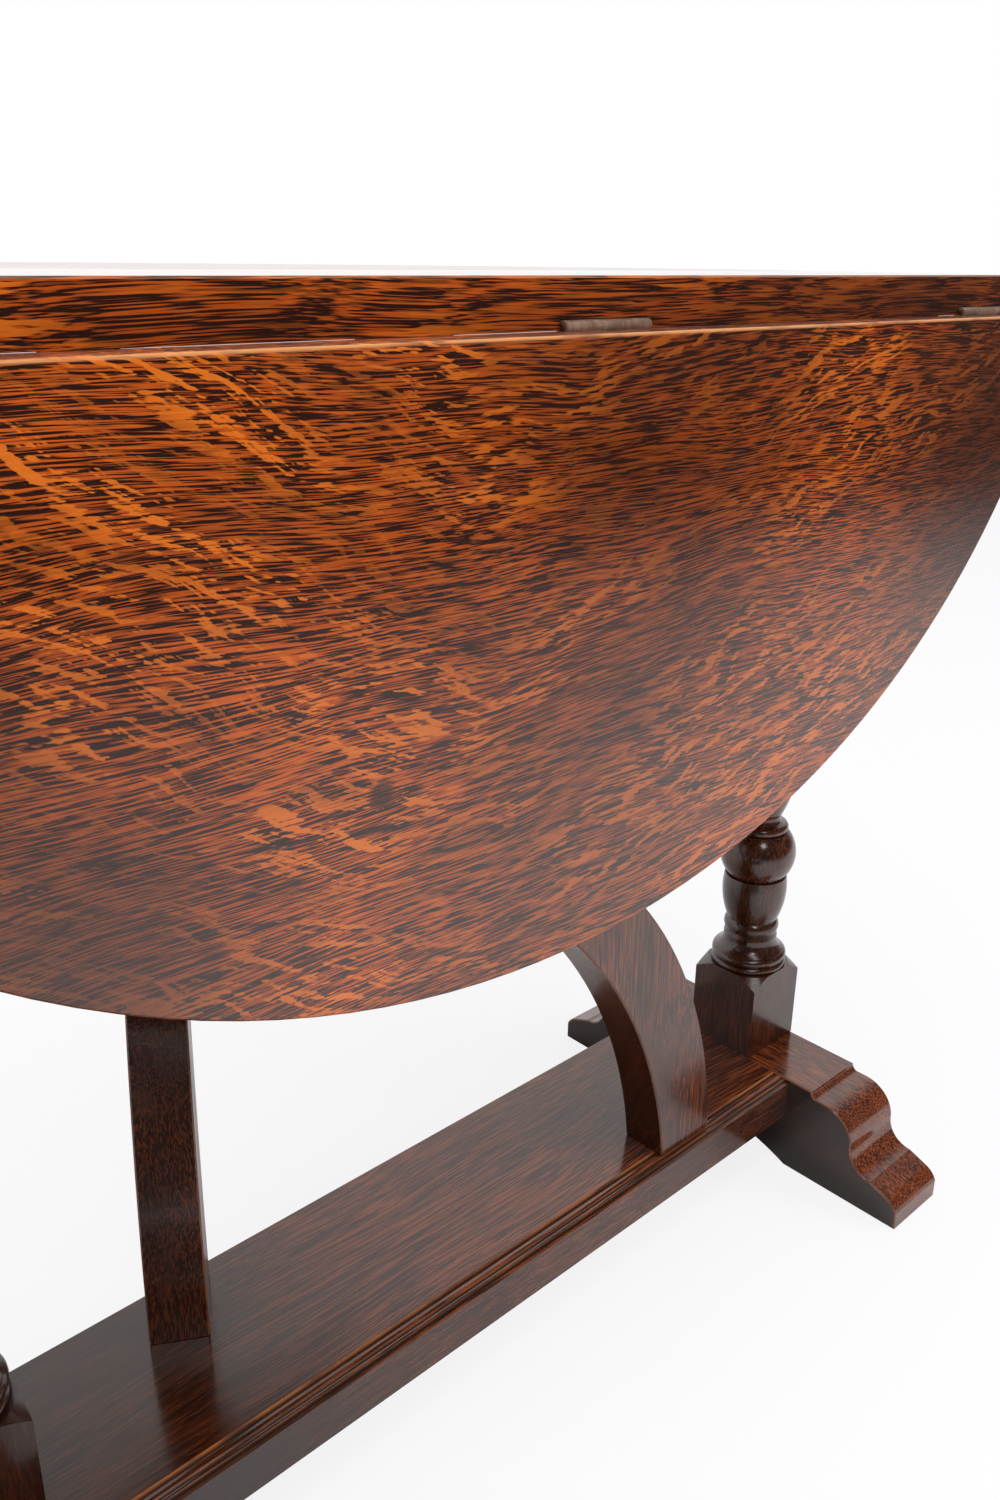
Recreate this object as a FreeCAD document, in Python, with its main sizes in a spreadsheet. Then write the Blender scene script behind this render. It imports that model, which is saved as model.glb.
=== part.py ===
import FreeCAD, Part
import math
import os

# Oval drop-leaf table with swinging butterfly wings, in dark polished oak.
# Frame: millimetres, +Z up, X along the hinges, origin on the floor below the middle of the whole box.
# As stored, the front leaf hangs, the front wing is folded along X, and the back leaf is up on its wing,
# so the box is deeper behind and the table's own centre plane lies in front of the origin.

SIZES = {
    # oval top
    "table_height": 517.0,
    "top_thickness": 18.5,
    "oval_half_length": 366.0,
    "oval_half_width": 313.5,
    "centre_half_width": 70.0,
    "board_edge_gap": 0.4,
    "leaf_edge_gap": 1.0,
    "arris_chamfer": 0.8,
    "leaf_arris_radius": 2.0,
    # butt hinges
    "hinge_length": 46.0,
    "hinge_row_shift": 18.0,
    "hinge_pin_rise": 0.9,
    "hinge_barrel_radius": 2.7,
    "hinge_plate_thickness": 1.6,
    "hinge_plate_width": 20.0,
    "hinge_pin_radius": 1.5,
    "hinge_pin_proud": 0.4,
    "hinge_knuckle_gap": 0.2,
    "hinge_bore_clearance": 0.05,
    "hinge_recess_clearance": 0.4,
    "hinge_screw_pitch": 15.0,
    "hinge_screw_inset": 12.0,
    # wood screws
    "screw_shank_radius": 1.6,
    "screw_head_radius": 3.2,
    "screw_head_height": 1.8,
    "screw_length": 12.0,
    "screw_fit": 0.05,
    "screw_slot_width": 0.8,
    "screw_slot_depth": 0.6,
    # turned columns
    "column_square": 45.0,
    "column_tenon_radius": 12.5,
    "column_tenon_length": 38.0,
    "column_top_tenon_length": 18.0,
    "column_block_height": 46.0,
    "column_shoulder_height": 7.0,
    "column_top_block_height": 56.0,
    "tenon_fit": 0.05,
    # sledge feet
    "foot_height": 61.0,
    "foot_half_length": 132.0,
    "foot_flat_half": 69.0,
    "foot_step": 4.0,
    "foot_quirk": 4.0,
    "foot_ledge": 6.0,
    "foot_ovolo_radius": 19.5,
    "foot_cove_radius": 15.0,
    "foot_toe_height": 18.0,
    "foot_nose_radius": 7.0,
    "foot_relief_half": 55.0,
    "foot_relief_height": 12.0,
    # platform between the feet
    "platform_length": 453.0,
    "platform_width": 105.0,
    "platform_thickness": 26.0,
    "reed_margin": 11.5,
    "reed_depth": 1.7,
    "reed_quirk": 1.4,
    "reed_wide": 5.2,
    "reed_narrow": 2.8,
    "reed_step": 0.5,
    "reed_edge_drop": 2.8,
    "dowel_radius": 5.0,
    "dowel_depth": 20.0,
    "dowel_spacing": 56.0,
    "dowel_drop": 12.0,
    # cross bearers under the top
    "bearer_half_length": 62.0,
    "bearer_height": 26.0,
    "bearer_end_height": 12.0,
    "bearer_end_round": 16.0,
    "bearer_screw_offset": 40.0,
    "bearer_screw_length": 34.0,
    # butterfly wings
    "wing_thickness": 27.0,
    "wing_inset": 5.0,
    "wing_pivot_offset": 135.5,
    "wing_base_width": 40.0,
    "wing_base_lean": 7.0,
    "wing_reach": 195.0,
    "wing_tip_height": 53.0,
    "wing_ear_height": 86.0,
    "wing_scoop_start": 62.0,
    "wing_tip_land": 20.0,
    "wing_open_angle": 60.0,
    "wing_foot_gap": 0.4,
    "wing_head_gap": 0.4,
    "pivot_pin_radius": 5.0,
    "pivot_pin_seat": 24.0,
    "pivot_pin_reach": 11.0,
    "pivot_running_fit": 0.08,
    "pivot_seat_fit": 0.03,
    "pivot_end_gap": 0.5,
    # one overrun for every cut
    "cut_overrun": 2.0,
}

doc = FreeCAD.newDocument("butterfly_table")
sheet = doc.addObject("Spreadsheet::Sheet", "Sizes")
for row, (alias, value) in enumerate(SIZES.items(), start=1):
    sheet.set(f"A{row}", alias)
    sheet.set(f"B{row}", str(value))
    sheet.setAlias(f"B{row}", alias)
doc.recompute()


def size(alias):
    """One driving dimension, read back from the sheet."""
    return float(sheet.get(alias))


X_AXIS = FreeCAD.Vector(1, 0, 0)
Y_AXIS = FreeCAD.Vector(0, 1, 0)
Z_AXIS = FreeCAD.Vector(0, 0, 1)

# Places that several pieces share.
CENTRE_Y_RULE = "(Sizes.foot_half_length - Sizes.oval_half_width) / 2"
CENTRE_Y = (size("foot_half_length") - size("oval_half_width")) / 2
UNDERSIDE = size("table_height") - size("top_thickness")
HINGE_Y = size("centre_half_width") + size("board_edge_gap")
HINGE_Z = UNDERSIDE + size("hinge_pin_rise")
HINGE_PITCH_SHARE = 0.765
HINGE_PITCH = size("oval_half_length") * HINGE_PITCH_SHARE
COLUMN_X = (size("platform_length") + size("column_square")) / 2
WING_Y = size("platform_width") / 2 - size("wing_inset") - size("wing_thickness") / 2
WING_FLOOR = size("foot_height") + size("wing_foot_gap")
WING_HEIGHT = UNDERSIDE - size("wing_head_gap") - WING_FLOOR
HINGE_PLACES = {place: size("hinge_row_shift") + step * HINGE_PITCH
                for place, step in (("left", -1), ("centre", 0), ("right", 1))}
SAME_PLACE = 1e-4

nodes = []


def bind(thing, **expressions):
    """Tie properties of an object to cells of the sheet; two underscores stand for a dot."""
    for path, expression in expressions.items():
        thing.setExpression(path.replace("__", "."), expression)


def keep(thing, label):
    """Name a finished sub-part and put it on the list of nodes."""
    thing.Label = label
    nodes.append(thing)
    return thing


def box(name, length, width, height, corner):
    """A block whose three sides are expressions and whose lowest corner is given."""
    block = doc.addObject("Part::Box", name)
    bind(block, Length=length, Width=width, Height=height)
    block.Placement.Base = FreeCAD.Vector(*corner)
    return block


def solid_group(name, solids):
    """Separate solids held in one object."""
    group = doc.addObject("Part::Feature", name)
    group.Shape = Part.makeCompound(solids)
    return group


def cut(name, base, solids):
    """The base with the given solids taken away."""
    result = doc.addObject("Part::Cut", name)
    result.Base = base
    result.Tool = solid_group(name + "_cutters", solids)
    return result


def flat_edges(base, axis):
    """Number, level and straightness of each edge that lies flat across the given axis."""
    doc.recompute()
    found = []
    for number, edge in enumerate(base.Shape.Edges, start=1):
        places = [point.dot(axis) for point in edge.discretize(Number=3)]
        if max(places) - min(places) < SAME_PLACE:
            found.append((number, places[0], isinstance(edge.Curve, Part.Line)))
    return found


def softened(kind, name, base, numbers, reach):
    """The base with the numbered edges chamfered or rounded."""
    result = doc.addObject(kind, name)
    result.Base = base
    result.Edges = [(number, reach, reach) for number in numbers]
    return result


def eased(name, base, axis):
    """The base with a small chamfer on every edge that lies flat across the given axis."""
    numbers = [number for number, level, straight in flat_edges(base, axis)]
    return softened("Part::Chamfer", name, base, numbers, size("arris_chamfer"))


class Outline:
    """A closed outline of lines and arcs; an arc leaves in the direction that the last edge ended in."""

    def __init__(self, start, direction=(0.0, 1.0)):
        self.start = start
        self.point = start
        self.direction = direction
        self.edges = []

    def line(self, *points):
        for point in points:
            self.edges.append(("line", self.point, point))
            run = (point[0] - self.point[0], point[1] - self.point[1])
            length = math.hypot(*run)
            self.direction = (run[0] / length, run[1] / length)
            self.point = point
        return self

    def head(self, degrees):
        """Set the direction that the next arc leaves in, measured anticlockwise from the horizontal."""
        self.direction = (math.cos(math.radians(degrees)), math.sin(math.radians(degrees)))
        return self

    def bow(self, point, rise_share):
        """An arc that rises to the right of its chord by a share of the chord's length."""
        run = (point[0] - self.point[0], point[1] - self.point[1])
        middle = (
            (self.point[0] + point[0]) / 2 + run[1] * rise_share,
            (self.point[1] + point[1]) / 2 - run[0] * rise_share,
        )
        self.edges.append(("arc", self.point, middle, point))
        self.point = point
        return self

    def arc(self, *points):
        for point in points:
            chord = (point[0] - self.point[0], point[1] - self.point[1])
            length = math.hypot(*chord)
            along = (chord[0] / length, chord[1] / length)
            cosine = along[0] * self.direction[0] + along[1] * self.direction[1]
            sine = self.direction[0] * along[1] - self.direction[1] * along[0]
            half_turn = math.atan2(sine, cosine)
            rise = length / 2 * math.tan(half_turn / 2)
            middle = (
                (self.point[0] + point[0]) / 2 + along[1] * rise,
                (self.point[1] + point[1]) / 2 - along[0] * rise,
            )
            self.edges.append(("arc", self.point, middle, point))
            self.direction = (
                2 * cosine * along[0] - self.direction[0],
                2 * cosine * along[1] - self.direction[1],
            )
            self.point = point
        return self

    def close(self):
        if math.dist(self.point, self.start) > 0:
            self.line(self.start)
        return self

    def mirrored(self):
        """Add the same run again, mirrored in the vertical axis, back to the start."""
        for edge in reversed(self.edges[:]):
            kind, points = edge[0], edge[1:]
            self.edges.append((kind, *[(-x, y) for x, y in reversed(points)]))
        self.point = self.start
        return self


def draw(body, name, plane, outline):
    """Put an outline on one of the body's own origin planes as a sketch."""
    sketch = body.newObject("Sketcher::SketchObject", name)
    support = [f for f in body.Origin.OriginFeatures if f.Role == plane][0]
    sketch.AttachmentSupport = [(support, "")]
    sketch.MapMode = "FlatFace"
    for edge in outline.edges:
        points = [FreeCAD.Vector(x, y, 0) for x, y in edge[1:]]
        if edge[0] == "line":
            sketch.addGeometry(Part.LineSegment(*points), False)
        else:
            sketch.addGeometry(Part.Arc(*points), False)
    return sketch


def padded(name, plane, outline, thickness):
    """A board of the given outline, its thickness an expression, centred on the plane."""
    body = doc.addObject("PartDesign::Body", name)
    pad = body.newObject("PartDesign::Pad", name + "_pad")
    pad.Profile = draw(body, name + "_outline", plane, outline)
    pad.SideType = "Symmetric"
    bind(pad, Length=thickness)
    return body


def round_bar(radius, length, start, direction):
    return Part.makeCylinder(radius, length, FreeCAD.Vector(*start), direction)


def hinge_place(side, leaf_drop=0.0):
    """Placement of a hinge line: Y points to the centre board, and a leaf drops by the given angle."""
    facing = 1 if side == "front" else -1
    base = FreeCAD.Vector(0, CENTRE_Y - facing * HINGE_Y, HINGE_Z)
    yaw = FreeCAD.Rotation(Z_AXIS, 0 if side == "front" else 180)
    return FreeCAD.Placement(base, yaw.multiply(FreeCAD.Rotation(X_AXIS, leaf_drop)))


LEAF_DROP = {"front": 90.0, "back": 0.0}


# Hinges, drawn about their own pin: local X along the pin, local Z up from it. The pin lies a little
# above the boards' underside, and the plates are let in flush with that underside.
SEAT_Z = -size("hinge_pin_rise")


def screw_solid(place, clearance=0.0, length=size("screw_length")):
    """A countersunk wood screw driven upwards, or the hole for one when given a clearance."""
    head_height = size("screw_head_height")
    head = Part.makeCone(size("screw_head_radius") + clearance, size("screw_shank_radius") + clearance,
                         head_height, place)
    shank_base = place + Z_AXIS * head_height
    shank_length = length - head_height + clearance
    shank = Part.makeCylinder(size("screw_shank_radius") + clearance, shank_length, shank_base)
    screw = head.fuse(shank).removeSplitter()
    if clearance > 0:
        return screw
    slot_length = 2 * size("screw_head_radius")
    slot = Part.makeBox(slot_length, size("screw_slot_width"), size("screw_slot_depth"),
                        place - X_AXIS * (slot_length / 2) - Y_AXIS * (size("screw_slot_width") / 2))
    return screw.cut(slot)


def plate_screw_places(hinge_x, facing):
    """Three screws along one hinge plate, on the side of the pin that it faces."""
    pitch = size("hinge_screw_pitch")
    return [FreeCAD.Vector(hinge_x + step * pitch, facing * size("hinge_screw_inset"), SEAT_Z)
            for step in (-1, 0, 1)]


def hinge_cutters(facing):
    """What the hinges of one leaf take out of a board: barrel grooves, plate beds and screw holes."""
    cutters = []
    clearance = size("hinge_recess_clearance")
    groove = size("hinge_barrel_radius") + clearance
    bed_length = size("hinge_length") + 2 * clearance
    bed_width = size("hinge_plate_width") + clearance
    bed_depth = size("hinge_plate_thickness") + size("cut_overrun")
    for hinge_x in HINGE_PLACES.values():
        start = hinge_x - bed_length / 2
        barrel = round_bar(groove, bed_length, (start, 0, 0), X_AXIS)
        bed_y = 0 if facing > 0 else -bed_width
        bed = Part.makeBox(bed_length, bed_width, bed_depth,
                           FreeCAD.Vector(start, bed_y, SEAT_Z - size("cut_overrun")))
        cutter = barrel.fuse(bed)
        for place in plate_screw_places(hinge_x, facing):
            cutter = cutter.fuse(screw_solid(place, size("screw_fit")))
        cutters.append(cutter)
    return cutters


def hinge_plate(hinge_x, facing, knuckles):
    """One plate with its share of the three knuckles, drilled for the pin and the screws."""
    knuckle = size("hinge_length") / 3
    gap = size("hinge_knuckle_gap")
    radius = size("hinge_barrel_radius")
    start = hinge_x - size("hinge_length") / 2
    clear = radius + size("hinge_recess_clearance")
    thickness = size("hinge_plate_thickness")
    width = size("hinge_plate_width") - clear
    plate_y = clear if facing > 0 else -size("hinge_plate_width")
    plate = Part.makeBox(size("hinge_length"), width, thickness, FreeCAD.Vector(start, plate_y, SEAT_Z))
    for index in knuckles:
        first = start + index * knuckle + gap / 2
        length = knuckle - gap
        barrel = round_bar(radius, length, (first, 0, 0), X_AXIS)
        tongue_y = 0 if facing > 0 else -clear
        tongue = Part.makeBox(length, clear, thickness, FreeCAD.Vector(first, tongue_y, SEAT_Z))
        plate = plate.fuse(barrel.fuse(tongue))
    bore = size("hinge_pin_radius") + size("hinge_bore_clearance")
    drill_length = size("hinge_length") + 2 * size("cut_overrun")
    plate = plate.cut(round_bar(bore, drill_length, (start - size("cut_overrun"), 0, 0), X_AXIS))
    for place in plate_screw_places(hinge_x, facing):
        plate = plate.cut(screw_solid(place, size("screw_fit")))
    return plate.removeSplitter()


def make_hinges(side):
    """Three butt hinges of one leaf, with the screws of both sides."""
    fixed = hinge_place(side)
    moving = hinge_place(side, LEAF_DROP[side])
    for place, hinge_x in HINGE_PLACES.items():
        name = f"hinge_{side}_{place}"
        pieces = {
            "top_plate": (hinge_plate(hinge_x, 1, (0, 2)), fixed),
            "leaf_plate": (hinge_plate(hinge_x, -1, (1,)), moving),
        }
        pin_length = size("hinge_length") + 2 * size("hinge_pin_proud")
        pin = round_bar(size("hinge_pin_radius"), pin_length, (hinge_x - pin_length / 2, 0, 0), X_AXIS)
        pieces["pin"] = (pin, fixed)
        for piece, (shape, placement) in pieces.items():
            feature = doc.addObject("Part::Feature", f"{name}_{piece}")
            feature.Shape = shape
            feature.Placement = placement
            keep(feature, f"{name}_{piece}")
    for piece, facing, placement in (("top", 1, fixed), ("leaf", -1, moving)):
        places = [p for hinge_x in HINGE_PLACES.values() for p in plate_screw_places(hinge_x, facing)]
        screws = solid_group(f"hinge_screws_{side}_{piece}", [screw_solid(p) for p in places])
        screws.Placement = placement
        keep(screws, f"hinge_screws_{side}_{piece}")


# Oval top: one ellipse, extruded, then parted into the centre board and two leaves.

def oval(name, centre_y, bottom_z):
    """The whole oval as a slab, its centre and underside where the caller wants them."""
    ellipse = doc.addObject("Part::Ellipse", name + "_rim")
    bind(ellipse, MajorRadius="max(Sizes.oval_half_length; Sizes.oval_half_width)",
         MinorRadius="min(Sizes.oval_half_length; Sizes.oval_half_width)")
    turn = 0 if size("oval_half_length") >= size("oval_half_width") else 90
    ellipse.Placement = FreeCAD.Placement(FreeCAD.Vector(0, centre_y, bottom_z), FreeCAD.Rotation(Z_AXIS, turn))
    slab = doc.addObject("Part::Extrusion", name + "_slab")
    slab.Base = ellipse
    slab.DirMode = "Custom"
    slab.Dir = Z_AXIS
    slab.Solid = True
    bind(slab, LengthFwd="Sizes.top_thickness")
    return slab


def make_leaf(side):
    """A drop leaf: the part of the oval beyond the joint, drawn about its hinge pins.

    Its upper arris at the joint is worn round, and the lower one is left square.
    """
    name = f"{side}_leaf"
    slab = oval(name, HINGE_Y, SEAT_Z)
    over = size("cut_overrun")
    reach = box(name + "_reach", "2 * (Sizes.oval_half_length + Sizes.cut_overrun)",
                "Sizes.oval_half_width", "Sizes.top_thickness + 2 * Sizes.cut_overrun",
                (-size("oval_half_length") - over, -size("oval_half_width") - size("leaf_edge_gap"),
                 SEAT_Z - over))
    board = doc.addObject("Part::Common", name + "_board")
    board.Base = slab
    board.Tool = reach
    middle = SEAT_Z + size("top_thickness") / 2
    rim = [number for number, level, straight in flat_edges(board, Z_AXIS) if not straight]
    eased_rim = softened("Part::Chamfer", name + "_eased", board, rim, size("arris_chamfer"))
    joint = [number for number, level, straight in flat_edges(eased_rim, Z_AXIS) if straight and level > middle]
    worn = softened("Part::Fillet", name + "_worn", eased_rim, joint, size("leaf_arris_radius"))
    leaf = cut(name, worn, hinge_cutters(-1))
    leaf.Placement = hinge_place(side, LEAF_DROP[side])
    return keep(leaf, name)


def wing_pivot(side):
    """Where a wing turns: the front wing towards the right column, the back wing towards the left."""
    facing = 1 if side == "front" else -1
    return FreeCAD.Vector(facing * size("wing_pivot_offset"), CENTRE_Y - facing * WING_Y, WING_FLOOR)


def pin_socket(base_z):
    """Two upright holes for the wings' pins, with their running fit."""
    depth = size("pivot_pin_reach") + size("pivot_end_gap") + size("cut_overrun")
    radius = size("pivot_pin_radius") + size("pivot_running_fit")
    sockets = []
    for side in ("front", "back"):
        pivot = wing_pivot(side)
        sockets.append(round_bar(radius, depth, (pivot.x, pivot.y, base_z), Z_AXIS))
    return sockets


def bearer_screw_places():
    low = UNDERSIDE - size("bearer_height")
    return [FreeCAD.Vector(0, CENTRE_Y + step * size("bearer_screw_offset"), low) for step in (-1, 1)]


def make_top_board():
    """The fixed centre board, bedded for six hinges and bored for the wings and bearer screws.

    Its lower long arrises are left square, because the leaves close against them.
    """
    slab = oval("top_board", CENTRE_Y, UNDERSIDE)
    over = size("cut_overrun")
    strip = box("top_board_strip", "2 * (Sizes.oval_half_length + Sizes.cut_overrun)",
                "2 * Sizes.centre_half_width", "Sizes.top_thickness + 2 * Sizes.cut_overrun",
                (-size("oval_half_length") - over, CENTRE_Y - size("centre_half_width"), UNDERSIDE - over))
    board = doc.addObject("Part::Common", "top_board_blank")
    board.Base = slab
    board.Tool = strip
    cutters = pin_socket(UNDERSIDE - over)
    for side in ("front", "back"):
        for cutter in hinge_cutters(1):
            cutter.Placement = hinge_place(side)
            cutters.append(cutter)
    for column_x in (-COLUMN_X, COLUMN_X):
        for place in bearer_screw_places():
            cutters.append(screw_solid(place + X_AXIS * column_x, size("screw_fit"), size("bearer_screw_length")))
    middle = UNDERSIDE + size("top_thickness") / 2
    arrises = [number for number, level, straight in flat_edges(board, Z_AXIS) if level > middle or not straight]
    eased_board = softened("Part::Chamfer", "top_board_eased", board, arrises, size("arris_chamfer"))
    return keep(cut("top_board", eased_board, cutters), "top_board")


# Base: platform, feet, columns and bearers.

# Rise of the wide reed, the narrow reed and the foot's relief, as shares of their chords.
WIDE_REED_SHARE = 0.19
NARROW_REED_SHARE = 0.25
RELIEF_SHARE = 0.054


def platform_outline():
    """Cross-section of the platform: plain back edge, flat top, and two reeds along the front margin."""
    edge = size("platform_width") / 2
    low = -size("platform_thickness")
    depth = size("reed_depth")
    chamfer = size("arris_chamfer")
    inner = edge - size("reed_margin")
    wide_start = inner + size("reed_quirk")
    wide_end = wide_start + size("reed_wide")
    narrow_end = wide_end + size("reed_narrow")
    outline = Outline((edge, low)).line((edge, -chamfer), (edge - chamfer, 0))
    outline.line((-inner, 0), (-wide_start, -depth))
    outline.bow((-wide_end, -depth), WIDE_REED_SHARE)
    outline.bow((-narrow_end, -depth - size("reed_step")), NARROW_REED_SHARE)
    outline.line((-edge, -size("reed_edge_drop")), (-edge, low))
    return outline.close()


def dowel_places(column_side):
    """Centres of the dowels at one end of the platform, on the face that meets the foot."""
    face_x = column_side * size("platform_length") / 2
    level = size("foot_height") - size("dowel_drop")
    return [(face_x, CENTRE_Y + step * size("dowel_spacing") / 2, level) for step in (-1, 1)]


def dowels(column_side, clearance=0.0):
    """Round dowels across one joint of platform and foot, or their holes."""
    half = size("dowel_depth") + clearance
    return [round_bar(size("dowel_radius") + clearance, 2 * half, (x - half, y, z), X_AXIS)
            for x, y, z in dowel_places(column_side)]


def make_platform():
    body = padded("platform_blank", "YZ_Plane", platform_outline(), "Sizes.platform_length")
    bind(body, Placement__Base__y=CENTRE_Y_RULE, Placement__Base__z="Sizes.foot_height")
    socket_depth = size("pivot_pin_reach") + size("pivot_end_gap")
    cutters = pin_socket(size("foot_height") - socket_depth)
    for column_side in (-1, 1):
        cutters += dowels(column_side, size("tenon_fit"))
    return keep(cut("platform", body, cutters), "platform")


def foot_outline():
    """Side view of a sledge foot: flat top, quirk, ovolo, cove, sloping toe and an arched relief below."""
    top = size("foot_height")
    flat = size("foot_flat_half")
    end = size("foot_half_length")
    ledge = top - size("foot_step")
    quirk_end = flat + size("foot_quirk")
    ovolo_start = quirk_end + size("foot_ledge")
    ovolo_low = ledge - size("foot_ovolo_radius")
    ovolo_out = ovolo_start + size("foot_ovolo_radius")
    cove_end = ovolo_out + size("foot_cove_radius")
    cove_low = ovolo_low - size("foot_cove_radius")
    nose = size("foot_nose_radius")
    toe = size("foot_toe_height")
    outline = Outline((0, top)).line((flat, top)).head(-90).arc((quirk_end, ledge))
    outline.line((ovolo_start, ledge)).arc((ovolo_out, ovolo_low), (cove_end, cove_low))
    outline.line((end - nose, toe)).arc((end, toe - nose)).line((end, 0), (size("foot_relief_half"), 0))
    outline.bow((0, size("foot_relief_height")), RELIEF_SHARE)
    return outline.mirrored()


def column_tenon(radius_fit, end_gap):
    """The round tenon below a column, or its mortise, about the column's own axis."""
    depth = size("column_tenon_length") + end_gap
    return round_bar(size("column_tenon_radius") + radius_fit, depth + size("cut_overrun"),
                     (0, 0, size("foot_height") - depth), Z_AXIS)


def stand_at(thing, column_side):
    """Move a piece drawn about its column's axis to the left or the right column."""
    bind(thing, Placement__Base__x=f"{column_side} * (Sizes.platform_length + Sizes.column_square) / 2",
         Placement__Base__y=CENTRE_Y_RULE)
    return FreeCAD.Vector(column_side * COLUMN_X, CENTRE_Y, 0)


def make_foot(side, column_side):
    body = padded(f"foot_{side}_blank", "YZ_Plane", foot_outline(), "Sizes.column_square")
    mortise = column_tenon(size("tenon_fit"), size("tenon_fit"))
    mortise.translate(stand_at(body, column_side))
    eased_body = eased(f"foot_{side}_eased", body, X_AXIS)
    foot = cut(f"foot_{side}", eased_body, [mortise] + dowels(column_side, size("tenon_fit")))
    return keep(foot, f"foot_{side}")


# The turning between the two blocks: height as a share of its length, radius as a share of half the
# square, and the rise of the arc that leads there as a share of its chord, none for a straight step.
TURNING_SHARES = [
    # two tori and a cove
    (0.000, 0.956, 0), (0.014, 0.933, 0.36), (0.034, 0.911, 0.32), (0.036, 0.880, 0), (0.066, 0.724, -0.14),
    # astragal ring
    (0.076, 0.689, 0), (0.103, 0.667, 0.17),
    # cup and its bulbous cover
    (0.203, 0.827, 0.075), (0.203, 0.750, 0), (0.207, 0.800, 0), (0.303, 0.760, 0.18),
    # ring, neck and tall vase
    (0.303, 0.700, 0), (0.321, 0.680, 0.24), (0.324, 0.560, 0), (0.338, 0.533, -0.10),
    (0.597, 0.778, 0.085), (0.907, 0.533, -0.03),
    # upper ring, cove and torus
    (0.907, 0.600, 0), (0.931, 0.600, 0.22), (0.931, 0.560, 0), (0.962, 0.800, -0.16),
    (0.964, 0.889, 0), (0.986, 0.911, 0.32), (1.000, 0.956, 0),
]
SHOULDER_SHARE = 1.09
BLOCK_TURN_SHARE = 1.45


def column_outline():
    """Half section of a column: tenon, block, shoulder, turning, shoulder, block and tenon."""
    half = size("column_square") / 2
    corner = half * BLOCK_TURN_SHARE
    collar = half * SHOULDER_SHARE
    tenon = size("column_tenon_radius")
    foot_top = size("foot_height")
    block_top = foot_top + size("column_block_height")
    head = UNDERSIDE - size("bearer_height")
    head_low = head - size("column_top_block_height")
    low = block_top + size("column_shoulder_height")
    high = head_low - size("column_shoulder_height")
    outline = Outline((0, foot_top - size("column_tenon_length")))
    outline.line((tenon, outline.point[1]), (tenon, foot_top), (corner, foot_top), (corner, block_top))
    outline.line((collar, low))
    for height_share, radius_share, rise_share in TURNING_SHARES:
        point = (half * radius_share, low + (high - low) * height_share)
        if rise_share:
            outline.bow(point, rise_share)
        else:
            outline.line(point)
    outline.line((collar, high), (corner, head_low), (corner, head), (tenon, head))
    tenon_top = head + size("column_top_tenon_length")
    outline.line((tenon, tenon_top), (0, tenon_top))
    return outline.close()


def square_frame(low, high):
    """What is planed off a round blank to leave a square block between two heights."""
    side = size("column_square")
    wide = 2 * side
    blank = Part.makeBox(wide, wide, high - low, FreeCAD.Vector(-wide / 2, -wide / 2, low))
    return blank.cut(Part.makeBox(side, side, high - low, FreeCAD.Vector(-side / 2, -side / 2, low)))


def make_column(side, column_side):
    body = doc.addObject("PartDesign::Body", f"column_{side}_turned")
    sketch = draw(body, f"column_{side}_outline", "XZ_Plane", column_outline())
    turned = body.newObject("PartDesign::Revolution", f"column_{side}_revolution")
    turned.Profile = sketch
    turned.ReferenceAxis = (sketch, ["V_Axis"])
    foot_top = size("foot_height")
    low = foot_top + size("column_block_height") + size("column_shoulder_height")
    head = UNDERSIDE - size("bearer_height")
    high = head - size("column_top_block_height") - size("column_shoulder_height")
    column = cut(f"column_{side}", body, [square_frame(foot_top, low), square_frame(high, head)])
    stand_at(column, column_side)
    return keep(column, f"column_{side}")


def bearer_outline():
    """End view of a bearer: square ends above, rounded off towards the lower face."""
    end = size("bearer_half_length")
    low = UNDERSIDE - size("bearer_height")
    end_low = UNDERSIDE - size("bearer_end_height")
    outline = Outline((0, UNDERSIDE)).line((end, UNDERSIDE), (end, end_low)).head(-180)
    outline.arc((end - size("bearer_end_round"), low)).line((0, low))
    return outline.mirrored()


def make_bearer(side, column_side):
    """A cross bearer, with the two long screws that hold the top to it."""
    body = padded(f"bearer_{side}_blank", "YZ_Plane", bearer_outline(), "Sizes.column_square")
    centre = stand_at(body, column_side)
    low = UNDERSIDE - size("bearer_height")
    mortise = round_bar(size("column_tenon_radius") + size("tenon_fit"),
                        size("column_top_tenon_length") + size("tenon_fit") + size("cut_overrun"),
                        (centre.x, centre.y, low - size("cut_overrun")), Z_AXIS)
    places = [place + X_AXIS * centre.x for place in bearer_screw_places()]
    length = size("bearer_screw_length")
    holes = [screw_solid(place, size("screw_fit"), length) for place in places]
    eased_body = eased(f"bearer_{side}_eased", body, X_AXIS)
    keep(cut(f"bearer_{side}", eased_body, [mortise] + holes), f"bearer_{side}")
    screws = solid_group(f"bearer_screws_{side}", [screw_solid(place, length=length) for place in places])
    return keep(screws, f"bearer_screws_{side}")


# Butterfly wings, drawn about their own pivot: local X towards the free end, local Z up from the foot.

# Where the wing's two long edges change from one arc to the next: reach and height shares.
FREE_EDGE_SHARES = (0.538, 0.391)
PIVOT_EDGE_SHARES = (0.287, 0.399)
# How deep the head is scooped, as a share of the scoop's length, to pass below the hinge barrel.
SCOOP_SHARE = -0.08
WING_YAW = {"front": 180.0, "back": size("wing_open_angle")}


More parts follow.
